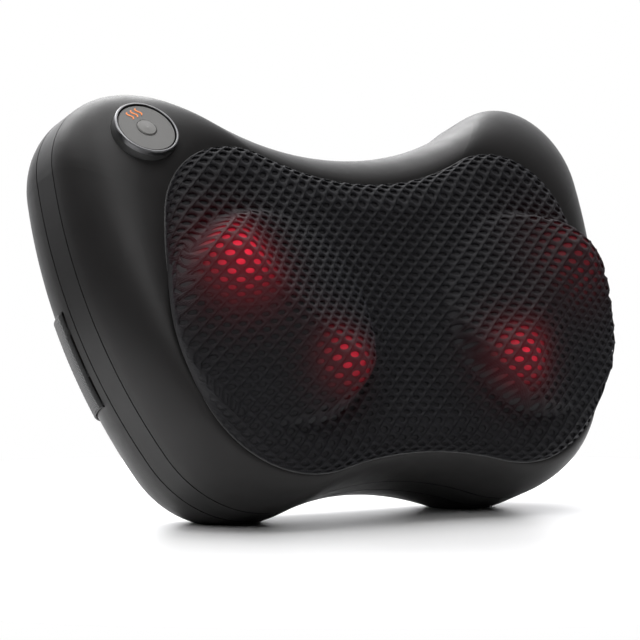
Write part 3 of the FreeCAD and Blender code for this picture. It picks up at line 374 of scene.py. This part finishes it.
def webbing_material(name):
    """Woven elastic: fine crossing picks; the strap's own mesh carries the cords."""
    look = Nodes(name)
    picks = look.add("TexWave", Vector=look.coords, Scale=520.0, Distortion=0.4).outputs["Fac"]
    fuzz = look.noise(2600, 3)
    base = look.blend(picks, (0.008, 0.008, 0.009), (0.022, 0.022, 0.023))
    height = look.maths("ADD", picks, look.maths("MULTIPLY", fuzz, 0.6))
    look.surface(Base_Color=base, Roughness=look.ramp(fuzz, 0.72, 0.86),
                 Normal=look.bump(height, 0.00018))
    look.shader.inputs["Sheen Weight"].default_value = 0.3
    return look.material


# ---------------------------------------------------------------- outlines and depths

HALF_OUTLINE = 600.0    # an outline's arcs get their share of points by this length


class Arcs:
    """Half of an outline: lobe centres and radii, the side arc and the two valley arcs."""

    def __init__(self, top_x, top_z, top_r, low_x, low_z, low_r, side_r, top_valley, low_valley):
        self.top, self.low = np.array([top_x, top_z]), np.array([low_x, low_z])
        self.radii = (top_r, low_r, side_r, top_valley, low_valley)

    def points(self, steps):
        """Points and outward normals, clockwise from the middle of the top valley."""
        top_r, low_r, side_r, top_valley, low_valley = self.radii
        top, low = self.top, self.low
        above = np.array([0, top[1] + math.sqrt((top_r + top_valley) ** 2 - top[0] ** 2)])
        below = np.array([0, low[1] - math.sqrt((low_r + low_valley) ** 2 - low[0] ** 2)])
        span = np.linalg.norm(top - low)
        to_top, to_low = side_r - top_r, side_r - low_r
        along = (to_top ** 2 - to_low ** 2 + span ** 2) / (2 * span)
        across = math.sqrt(to_top ** 2 - along ** 2)
        step = (low - top) / span
        side = top + along * step + across * np.array([step[1], -step[0]])

        def heading(a, b):
            return math.atan2(b[1] - a[1], b[0] - a[0])

        to_lobe = heading(above, top)
        to_shoulder, to_hip = heading(side, top), heading(side, low)
        from_below = heading(below, low)
        arcs = (
            (above, top_valley, -math.pi / 2, to_lobe, -1),
            (top, top_r, to_lobe + math.pi, to_shoulder, 1),
            (side, side_r, to_shoulder, to_hip, 1),
            (low, low_r, to_hip, from_below - math.pi, 1),
            (below, low_valley, from_below, math.pi / 2, -1),
        )
        places, normals = [], []
        for centre, radius, start, stop, sense in arcs:
            while sense > 0 and stop > start:
                stop -= 2 * math.pi
            count = max(4, int(steps * abs(stop - start) * radius / HALF_OUTLINE))
            angle = np.linspace(start, stop, count, endpoint=False)
            ray = np.stack([np.cos(angle), np.sin(angle)], 1)
            places.append(centre + radius * ray)
            normals.append(sense * ray)
        places, normals = np.concatenate(places), np.concatenate(normals)
        flip = np.array([-1, 1])
        return (np.concatenate([places, places[:0:-1] * flip]),
                np.concatenate([normals, normals[:0:-1] * flip]))


RIM = Arcs(top_x=85.7, top_z=129.9, top_r=44.9, low_x=67.6, low_z=65.4, low_r=64.3,
           side_r=193.6, top_valley=154.6, low_valley=207.5)
RIM_DEPTH = 36.5        # how far the opening's edge lies in front of the outer seam
RIM_STEPS = 6000        # points over half the outline, were it as long as HALF_OUTLINE
RING = 57.5             # radius of the round patch that moves with each carrier
PARTING = RING + 1.5    # cells whose centre lies nearer than this turn with the carrier
RING_DEPTH = 49.0       # how far its edge lies in front of the outer seam
DOME_RISE = 12.5        # the patch's middle stands this far in front of its edge
MIDDLE_DEPTH = 46.0     # the cloth between the two patches
MIDDLE_FADE = 20.0      # how far from a patch the cloth has come down to that
NODE_ARM, NODE_ANGLE = 38.0, math.radians(46.0)
NODE_DEPTH = 51.0       # the node's own centre
SKIN = 19.4             # radius of the cloth stretched over a node
FOLD_EDGE = 5.0         # the patch comes down to its edge over this width
TAUT_SLOPE = 0.5        # the cloth leaves a node at this slope
TAUT_FROM = SKIN * math.sin(math.atan(TAUT_SLOPE))
CREASE = 8.0            # softness of the crease between a node's ridge and the dome
SAG = 3.0               # how far the cloth hangs in between the two nodes of a carrier
SIDE_STRIP = 14.0       # least width of cloth between a patch and the opening
SHOULDER = 24.0         # width of cloth that turns back towards the opening
SHOULDER_LEAST = 0.7    # its least width beside a patch, as a share of the strip there
KNEE_OUT = 2.0          # the turn stands this far outside the opening
KNEE_RISE, KNEE_RISE_LOW = 0.72, 0.5   # and this high, of the way up to the face
KNEE_FADE = 5.0         # added to the overhang over which the turn goes from high to low
CLOTH_SPARE = 8.0       # least width of cloth beyond the opening's edge
SPARE_STEP = 0.25       # that width grows in these steps where a patch needs more
SPARE_BLUR = 120        # and is smoothed over this many outline points either way
LINING_DROP = 1.7       # the lining lies this far behind the mesh's face


def carrier(side):
    """The middle of one carrier, in the plane of the opening."""
    return np.array([side * DRIVE_X, DRIVE_HEIGHT])


def node_centres(side):
    """The outer and inner node of one carrier, in the plane of the opening."""
    arm = NODE_ARM * np.array([side * math.cos(NODE_ANGLE), math.sin(NODE_ANGLE)])
    return carrier(side) + arm, carrier(side) - arm


def smooth(value):
    """A 0..1 share that starts and ends level."""
    value = np.clip(value, 0, 1)
    return value * value * (3 - 2 * value)


def higher(a, b, soft):
    """The larger of two heights, with a soft crease between them."""
    near = np.clip(0.5 + 0.5 * (a - b) / soft, 0, 1)
    return b + (a - b) * near + soft * near * (1 - near)


def patch_depth(places, side):
    """How far the round patch stands forward: a low dome, and a ridge drawn over two nodes."""
    share = np.linalg.norm(places - carrier(side), axis=1) / RING
    dome = RING_DEPTH + DOME_RISE * (1 - share ** 2)
    outer, inner = node_centres(side)
    span = inner - outer
    along = np.clip((places - outer) @ span / (span @ span), 0, 1)
    away = np.linalg.norm(places - (outer + along[:, None] * span), axis=1)
    ball = NODE_DEPTH + np.sqrt(SKIN ** 2 - np.minimum(away, TAUT_FROM) ** 2)
    sag = SAG * (1 - (2 * along - 1) ** 2)
    pushed = ball - TAUT_SLOPE * np.maximum(away - TAUT_FROM, 0) - sag
    raised = higher(pushed, dome, CREASE)
    return dome + (raised - dome) * smooth((1 - share) * RING / FOLD_EDGE)


def face_depth(places):
    """How far the cloth's face stands forward outside the round patches."""
    away = np.min([np.linalg.norm(places - carrier(side), axis=1) for side in BODY_OF_SIDE],
                  axis=0)
    return RING_DEPTH + (MIDDLE_DEPTH - RING_DEPTH) * smooth((away - RING) / MIDDLE_FADE)


class Opening:
    """The opening's edge and the cloth's own, larger edge, for finding the nearest point."""

    def __init__(self):
        self.rim, self.normal = RIM.points(RIM_STEPS)
        self.spare = np.full(len(self.rim), CLOTH_SPARE)
        for side in BODY_OF_SIDE:
            for spare in np.arange(CLOTH_SPARE, 2 * SHOULDER, SPARE_STEP):
                reach = np.linalg.norm(self.rim + self.normal * spare - carrier(side), axis=1)
                tight = (reach < RING + SIDE_STRIP) & (self.spare <= spare)
                self.spare[tight] = spare + SPARE_STEP
        window = np.hanning(2 * SPARE_BLUR + 1)
        window /= window.sum()
        ends = np.concatenate([self.spare[-SPARE_BLUR:], self.spare, self.spare[:SPARE_BLUR]])
        self.spare = np.maximum(np.convolve(ends, window, "valid"), CLOTH_SPARE)
        self.cut = self.rim + self.normal * self.spare[:, None]
        self.width = np.full(len(self.rim), SHOULDER)
        for side in BODY_OF_SIDE:
            reach = np.linalg.norm(self.cut - carrier(side), axis=1) - RING
            least = SIDE_STRIP * SHOULDER_LEAST
            self.width = np.minimum(self.width, np.maximum(reach, least))
        self.tree = KDTree(len(self.cut))
        for index, (x, z) in enumerate(self.cut):
            self.tree.insert((x, 0, z), index)
        self.tree.balance()

    def edge_distance(self, places):
        """For each place its distance inside the cloth's edge, and the nearest edge point."""
        inside, nearest = np.zeros(len(places)), np.zeros(len(places), int)
        for row, (x, z) in enumerate(places):
            _, index, _ = self.tree.find((x, 0, z))
            inside[row] = (self.cut[index] - places[row]) @ self.normal[index]
            nearest[row] = index
        return inside, nearest

    def settle(self, places):
        """Flat cloth to its stretched place: x, depth and z of the part that doesn't turn."""
        inside, index = self.edge_distance(places)
        width = self.width[index]
        share = np.clip(inside / width, 0, 1)[:, None]
        step_in = (self.spare[index] - width)[:, None]
        normal, start = self.normal[index], self.rim[index]
        turned = start + normal * step_in
        flat = np.where(share < 1, turned, places)
        depth_in = face_depth(flat)[:, None]
        bare = SHOULDER - CLOTH_SPARE
        overhang = np.clip((step_in + bare) / (bare + KNEE_FADE), 0, 1)
        knee = start + normal * (np.maximum(step_in, 0) + KNEE_OUT)
        knee_share = KNEE_RISE + (KNEE_RISE_LOW - KNEE_RISE) * overhang
        knee_depth = RIM_DEPTH + (depth_in - RIM_DEPTH) * knee_share
        a, b, c = (1 - share) ** 2, 2 * share * (1 - share), share ** 2
        plane = np.where(share < 1, a * start + b * knee + c * turned, places)
        depth = np.where(share < 1, a * RIM_DEPTH + b * knee_depth + c * depth_in, depth_in)
        return plane, depth[:, 0]

    def drape(self, places):
        """Where any flat place of the cloth goes: over a carrier, or out to the opening."""
        plane, depth = self.settle(places)
        for side in BODY_OF_SIDE:
            over = np.linalg.norm(places - carrier(side), axis=1) < RING
            plane[over] = places[over]
            depth[over] = patch_depth(places[over], side)
        return plane, depth


# ---------------------------------------------------------------- the stretched front

PITCH, ROW = 8.0, 3.75          # spacing of the holes in a row, and of the staggered rows
ROWS, COLUMNS = range(-10, 60), range(-22, 23)
HOLE = (2.35, 1.30)             # half width and half height of a hole
LIP = (2.95, 1.95)              # where the yarn round a hole starts to turn in
YARN_TURN, YARN_ROUND = 0.30, 0.55      # how far it then falls to the lip, and to the hole
YARN_DEEP = 1.3                 # how deep the hole's wall reaches
RIB_HALF, RIB_RISE, RIB_SUNK, RIB_STEPS = 0.28, 0.22, 0.05, 3
ROW_SAG, ROW_SAG_EVERY = 2.2, 42.0      # the rows' slow wave, and a quicker, smaller one
ROW_RIPPLE, ROW_RIPPLE_EVERY = 0.8, 17.0
SPREAD, SPREAD_REACH, SPREAD_FADE = 0.30, 15.0, 12.0    # of the knit where a node presses it
NODE_PAINTED_GLOW = {                   # strength and spread of the red glow painted on the cloth at each side's outer and inner node
    -1: ((0.85, 1.0), (0.42, 0.8)),
    1: ((0.10, 1.3), (0.55, 0.85)),
}
COLLAR_RADII = (55.3, 57.3, 58.8, 60.3)
COLLAR_STEPS = 120
COLLAR_IN, COLLAR_DROP = 1.0, 2.7       # how far it tucks in, and lies behind the mesh
HEM_RADIUS, HEM_IN, HEM_LIFT = 1.1, 0.6, 0.2
HEM_EVERY = 12                  # outline points from one point of the hem to the next
CORNERS = ((1, 0), (0.5, 0.5), (0, 1), (-0.5, 0.5), (-1, 0), (-0.5, -0.5), (0, -1), (0.5, -0.5))


def stretch(places):
    """The knit's rows sag a little, and spread where a node presses them."""
    moved = places.copy()
    moved[:, 1] += (ROW_SAG * np.cos(places[:, 0] / ROW_SAG_EVERY)
                    - ROW_RIPPLE * np.sin(places[:, 0] / ROW_RIPPLE_EVERY))
    for side in BODY_OF_SIDE:
        hold = smooth((RING - np.linalg.norm(places - carrier(side), axis=1)) / SPREAD_FADE)
        for centre in node_centres(side):
            from_node = moved - centre
            near = np.exp(-(np.linalg.norm(from_node, axis=1) / SPREAD_REACH) ** 2)
            moved += from_node * (SPREAD * near * hold)[:, None]
    return moved


def cells():
    """Centres of the staggered diamond cells that cover the opening."""
    return np.array([(PITCH * (column + 0.5 * (row % 2)), ROW * row)
                     for row in ROWS for column in COLUMNS], float)


def soft_mesh(name, plane, depth, faces, body, material, smooth_levels=1):
    """A soft piece from upright places: x and z in plane, and how far forward in depth."""
    points = [leaned(x, -y, z) for (x, z), y in zip(plane, depth)]
    mesh = bpy.data.meshes.new(name)
    mesh.from_pydata(points, [], faces)
    mesh.validate()
    mesh.update()
    mesh.shade_smooth()
    piece = bpy.data.objects.new(name, mesh)
    bpy.context.scene.collection.objects.link(piece)
    mesh.materials.append(material)
    if smooth_levels:
        subdivision = piece.modifiers.new("rounding", "SUBSURF")
        subdivision.levels = subdivision.render_levels = smooth_levels
    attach(piece, body)
    return piece


def knit(centres, settle, drop, holes):
    """Cloth made of the given cells: shared diamond corners, and a turned-in hole in each."""
    flat, level, faces, shared = [], [], [], {}

    def corner(centre, step):
        x, z = centre[0] + step[0] * PITCH / 2, centre[1] + step[1] * ROW
        key = (round(x * 100), round(z * 100))
        if key not in shared:
            shared[key] = len(flat)
            flat.append((x, z))
            level.append(0.0)
        return shared[key]

    for centre in centres:
        outer = [corner(centre, step) for step in CORNERS]
        if not holes:
            middle = len(flat)
            flat.append(tuple(centre))
            level.append(0.0)
            faces += [(outer[i], outer[(i + 1) % 8], outer[(i + 2) % 8], middle)
                      for i in range(1, 8, 2)]
            continue
        rings = [outer]
        for size, low in ((LIP, YARN_TURN), (HOLE, YARN_TURN + YARN_ROUND),
                          (HOLE, YARN_DEEP)):
            rings.append(list(range(len(flat), len(flat) + 8)))
            for number in range(8):
                angle = number * math.pi / 4
                flat.append((centre[0] + size[0] * math.cos(angle),
                             centre[1] + size[1] * math.sin(angle)))
                level.append(low)
        for ring, inner in zip(rings, rings[1:]):
            faces += [(ring[i], ring[(i + 1) % 8], inner[(i + 1) % 8], inner[i])
                      for i in range(8)]
    if holes:
        for centre in centres:
            for start, stop in (((-1, 0), (0, 1)), ((0, -1), (1, 0))):
                add_rib(centre, start, stop, flat, level, faces)
    plane, depth = settle(stretch(np.array(flat)))
    return plane, depth - np.array(level) - drop, faces


def add_rib(centre, start, stop, flat, level, faces):
    """A taut yarn that stands up along one diagonal side of a cell."""
    a = np.array(centre) + np.array(start) * (PITCH / 2, ROW)
    b = np.array(centre) + np.array(stop) * (PITCH / 2, ROW)
    across = np.array([-(b - a)[1], (b - a)[0]]) / np.linalg.norm(b - a)
    first = len(flat)
    for step in range(RIB_STEPS + 1):
        place = a + (b - a) * step / RIB_STEPS
        for offset, low in ((-RIB_HALF, RIB_SUNK), (0, -RIB_RISE), (RIB_HALF, RIB_SUNK)):
            flat.append(tuple(place + across * offset))
            level.append(low)
    for step in range(RIB_STEPS):
        for part in (0, 1):
            corner = first + step * 3 + part
            faces.append((corner, corner + 1, corner + 4, corner + 3))


def make_front():
    """The open mesh and its lining: one fixed part, and a round patch on each carrier."""
    opening = Opening()
    centres = cells()
    stretched = stretch(centres)
    inside, _ = opening.edge_distance(stretched)
    side_of = np.where(stretched[:, 0] < 0, -1, 1)
    to_carrier = np.array([np.linalg.norm(place - carrier(side))
                           for place, side in zip(stretched, side_of)])
    # the tip of each node's cloth is a centre of the red glow painted on the yarn and lining
    lamps = []
    for side in BODY_OF_SIDE:
        for centre, (strength, spread) in zip(node_centres(side), NODE_PAINTED_GLOW[side]):
            tip = leaned(centre[0], -(NODE_DEPTH + SKIN), centre[1])
            lamps.append((tuple(tip), strength, spread))
    thread = thread_material("air_mesh_yarn", lamps)
    lining = lining_material("lining_painted_glow", lamps)
    pieces = {}
    for name, holes, drop, material, slot in (("mesh", True, 0.0, thread, "mesh_fabric"),
                                              ("lining", False, LINING_DROP, lining,
                                               "liner_fabric")):
        fixed = centres[(inside > 0) & (to_carrier >= PARTING)]
        plane, depth, faces = knit(fixed, opening.drape, drop, holes)
        pieces[name, 0] = soft_mesh("front_" + name, plane, depth, faces, "root", material)
        for side, body in BODY_OF_SIDE.items():
            turning = centres[(to_carrier < PARTING) & (side_of == side)]
            plane, depth, faces = knit(turning, opening.drape, drop, holes)
            label = f"{SIDE_NAME[side]}_{name}_patch"
            pieces[name, side] = soft_mesh(label, plane, depth, faces, body, material)
    for side in (0, -1, 1):
        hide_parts("mesh_cover")
        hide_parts("inner_liner")
    make_collars(opening, lining)
    return pieces, opening


def make_collars(opening, lining):
    """The fixed lining's edge, turned under each patch so that no gap opens as it turns."""
    turns = np.linspace(0, 2 * math.pi, COLLAR_STEPS, endpoint=False)
    ray = np.stack([np.cos(turns), np.sin(turns)], 1)
    for side in BODY_OF_SIDE:
        plane, depth = [], []
        for radius in COLLAR_RADII:
            places = carrier(side) + radius * ray
            level = np.full(COLLAR_STEPS, RING_DEPTH)
            if radius > RING:
                places, level = opening.settle(places)
                places = places - COLLAR_IN * ray
            plane.append(places)
            depth.append(level - COLLAR_DROP)
        faces = [(row * COLLAR_STEPS + step, row * COLLAR_STEPS + after,
                  (row + 1) * COLLAR_STEPS + after, (row + 1) * COLLAR_STEPS + step)
                 for row in range(len(COLLAR_RADII) - 1)
                 for step, after in enumerate([*range(1, COLLAR_STEPS), 0])]
        collar = soft_mesh(f"{SIDE_NAME[side]}_lining_collar", np.concatenate(plane),
                           np.concatenate(depth), faces, "root", lining, 0)
        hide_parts("inner_liner")


def make_hem(opening):
    """The cloth's bound edge, tucked against the opening of the front shell."""
    line = bpy.data.curves.new("cloth_hem", "CURVE")
    line.dimensions = "3D"
    line.bevel_depth = HEM_RADIUS * MM
    line.bevel_resolution = 3
    loop = line.splines.new("POLY")
    rim = opening.rim[::HEM_EVERY] - HEM_IN * opening.normal[::HEM_EVERY]
    loop.points.add(len(rim) - 1)
    for point, (x, z) in zip(loop.points, rim):
        point.co = (*leaned(x, -(RIM_DEPTH + HEM_LIFT), z), 1)
    loop.use_cyclic_u = True
    hem = bpy.data.objects.new("cloth_hem", line)
    bpy.context.scene.collection.objects.link(hem)
    line.materials.append(webbing_material("hem_tape"))
    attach(hem, "root")


# ---------------------------------------------------------------- the elastic strap

STRAP_LOW, STRAP_WIDE = 57.0, 50.0      # its lower edge's height, and its width
STRAP_START = 23.0      # the strap comes out this far behind the outer seam
STRAP_LIFT, STRAP_THICK, STRAP_TUCK = 0.25, 1.2, 5.0
STRAP_STEPS = 220       # points along it
SELVEDGE_DROP = 0.5     # its two woven edges lie this much lower
CORDS = 26              # rubber cords woven along the strap
CORD_STEPS = 3          # points across each of them
CORD_RISE = 0.22
RAYS = 361              # the shell is felt for from this many places at each height,
RAYS_FROM = (400.0, 260.0)      # on an ellipse of these half axes, across and back,
RAYS_AIM = 72.0         # towards places up to this far to each side,
MIDDLE_BACK = 17.0      # all this far behind the outer seam


def make_strap():
    """Woven elastic wrapped round the back, following the rear shell at each height."""
    shell = frame["nodes"]["rear_shell"]
    tree = BVHTree.FromObject(shell, bpy.context.evaluated_depsgraph_get())
    across = CORDS * CORD_STEPS + 1
    rows = []
    for level in range(across):
        z = STRAP_LOW + STRAP_WIDE * level / (across - 1)
        line = []
        for turn in np.linspace(0, math.pi, RAYS):
            aim = Vector((RAYS_AIM * math.cos(turn), MIDDLE_BACK, z))
            start = Vector((RAYS_FROM[0] * math.cos(turn),
                            MIDDLE_BACK + RAYS_FROM[1] * math.sin(turn), z))
            ray = (LEAN @ aim) - (LEAN @ start)
            hit, *_ = tree.ray_cast(LEAN @ start, ray.normalized())
            if hit is None:
                continue
            place = LEAN.inverted() @ hit
            if place.y >= STRAP_START:
                line.append(np.array(place))
        rows.append(resampled(np.array(line), STRAP_STEPS))
    grid = np.array(rows)
    push = outward_of(grid)
    phase = np.arange(across) / (across - 1) * CORDS * 2 * math.pi
    rise = STRAP_LIFT + STRAP_THICK + CORD_RISE * (1 - np.cos(phase)) / 2
    rise[[0, -1]] -= SELVEDGE_DROP
    grid = grid + push * rise[:, None, None]
    tuck = [grid[:, :1] - push[:, :1] * STRAP_TUCK, grid[:, -1:] - push[:, -1:] * STRAP_TUCK]
    grid = np.concatenate([tuck[0], grid, tuck[1]], axis=1)
    wide = grid.shape[1]
    faces = [(r * wide + c, r * wide + c + 1, (r + 1) * wide + c + 1, (r + 1) * wide + c)
             for r in range(across - 1) for c in range(wide - 1)]
    flat = grid.reshape(-1, 3)
    strap = soft_mesh("woven_strap", flat[:, [0, 2]], -flat[:, 1], faces, "root",
                      webbing_material("woven_elastic"), 0)
    body = strap.modifiers.new("thickness", "SOLIDIFY")
    body.thickness = STRAP_THICK * MM
    body.offset = -1
    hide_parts("elastic_strap")


def resampled(line, count):
    """The same polyline with evenly spaced points."""
    reach = np.concatenate([[0], np.cumsum(np.linalg.norm(np.diff(line, axis=0), axis=1))])
    at = np.linspace(0, reach[-1], count)
    return np.stack([np.interp(at, reach, line[:, axis]) for axis in range(3)], 1)


def outward_of(grid):
    """Unit normals of a grid of points, pointing away from the middle of the pillow."""
    along = np.gradient(grid, axis=1)
    across = np.gradient(grid, axis=0)
    normal = np.cross(along, across)
    normal /= np.maximum(np.linalg.norm(normal, axis=2, keepdims=True), 1e-9)
    middle = np.array([0, MIDDLE_BACK, STRAP_LOW + STRAP_WIDE / 2])
    sign = np.sign(((grid - middle) * normal).sum(2, keepdims=True))
    return normal * sign


# ---------------------------------------------------------------- finishes of the CAD nodes

def dress(material, *names):
    """Gives the named CAD nodes one material."""
    for name in names:
        shape = frame["nodes"][name].data
        shape.materials.clear()
        shape.materials.append(material)


def dress_nodes():
    """Every CAD node's finish, from the moulded case to the gear train inside it."""
    sides = tuple(SIDE_NAME.values())
    dress(moulded_material("soft_touch_shell", (0.0125, 0.0118, 0.0118), 0.45, specular=0.22),
          "front_shell", "rear_shell")
    dress(moulded_material("satin_band", (0.0115, 0.011, 0.011), 0.42, specular=0.22), "mid_band")
    dress(moulded_material("pad_housing_black", (0.030, 0.030, 0.030), 0.5), "control_housing")
    dress(metal_material("dark_satin_chrome", (0.20, 0.20, 0.205), 0.34), "control_bezel")
    dress(moulded_material("satin_plate", (0.098, 0.096, 0.092), 0.38), "control_plate")
    dress(moulded_material("satin_button", (0.135, 0.132, 0.126), 0.36), "power_button")
    dress(moulded_material("heat_orange", (0.85, 0.22, 0.03), 0.35), "heat_mark")
    dress(moulded_material("moulded_black", (0.02, 0.02, 0.02), 0.5), "mesh_frame", "dc_inlet",
          "strap_bars", "motor_end_cap", "tact_switch")
    dress(moulded_material("glass_filled_nylon", (0.06, 0.06, 0.062), 0.55, 0.00008, 1800),
          "gearbox_housing", "gearbox_cover", *[f"{side}_node_carrier" for side in sides])
    dress(moulded_material("natural_nylon", (0.72, 0.69, 0.60), 0.42),
          "left_worm", "right_worm", *[f"{side}_worm_wheel" for side in sides])
    steel = metal_material("drawn_steel", (0.56, 0.56, 0.58), 0.3, (1, 14, 14))
    dress(steel, "motor_shaft", "motor_can", "inlet_nut",
          *[f"{side}_output_shaft" for side in sides])
    zinc = metal_material("zinc_plated", (0.62, 0.63, 0.66), 0.34)
    dress(zinc, "board_screws", "gearbox_cover_screws", "gearbox_mount_screws", "shell_screws",
          *[f"{side}_hub_screw" for side in sides], *[f"{side}_node_screws" for side in sides])
    dress(metal_material("sintered_bronze", (0.55, 0.37, 0.18), 0.48, scratch=0.00004),
          "front_output_bushes", "rear_output_bushes", "shaft_end_bushes", "motor_bushes",
          "thrust_washers", *[f"{side}_contact_ring" for side in sides])
    dress(metal_material("contact_copper", (0.66, 0.35, 0.20), 0.3), "contact_brushes")
    dress(winding_material("copper_winding"), "motor_armature")
    dress(moulded_material("ferrite", (0.035, 0.033, 0.032), 0.6, 0.0001, 1500), "motor_magnets")
    dress(board_material("solder_mask"), "main_board", "control_board")
    dress(moulded_material("component_epoxy", (0.016, 0.016, 0.017), 0.3), "board_components",
          "thermal_fuse")
    red = (0.75, 0.02, 0.035)
    # the node covers get a painted red glow; the node lamps below are real lamps
    dress(lit_material("red_node_painted_glow", red, 1.2),
          *[f"{side}_{place}_node" for side in sides for place in ("outer", "inner")])
    dress(lit_material("red_lamp", (1.0, 0.03, 0.05), 6.0),
          *[f"{side}_node_lamps" for side in sides])


make_camera()
dress_nodes()
pieces, opening = make_front()
make_hem(opening)
make_strap()
make_studio()
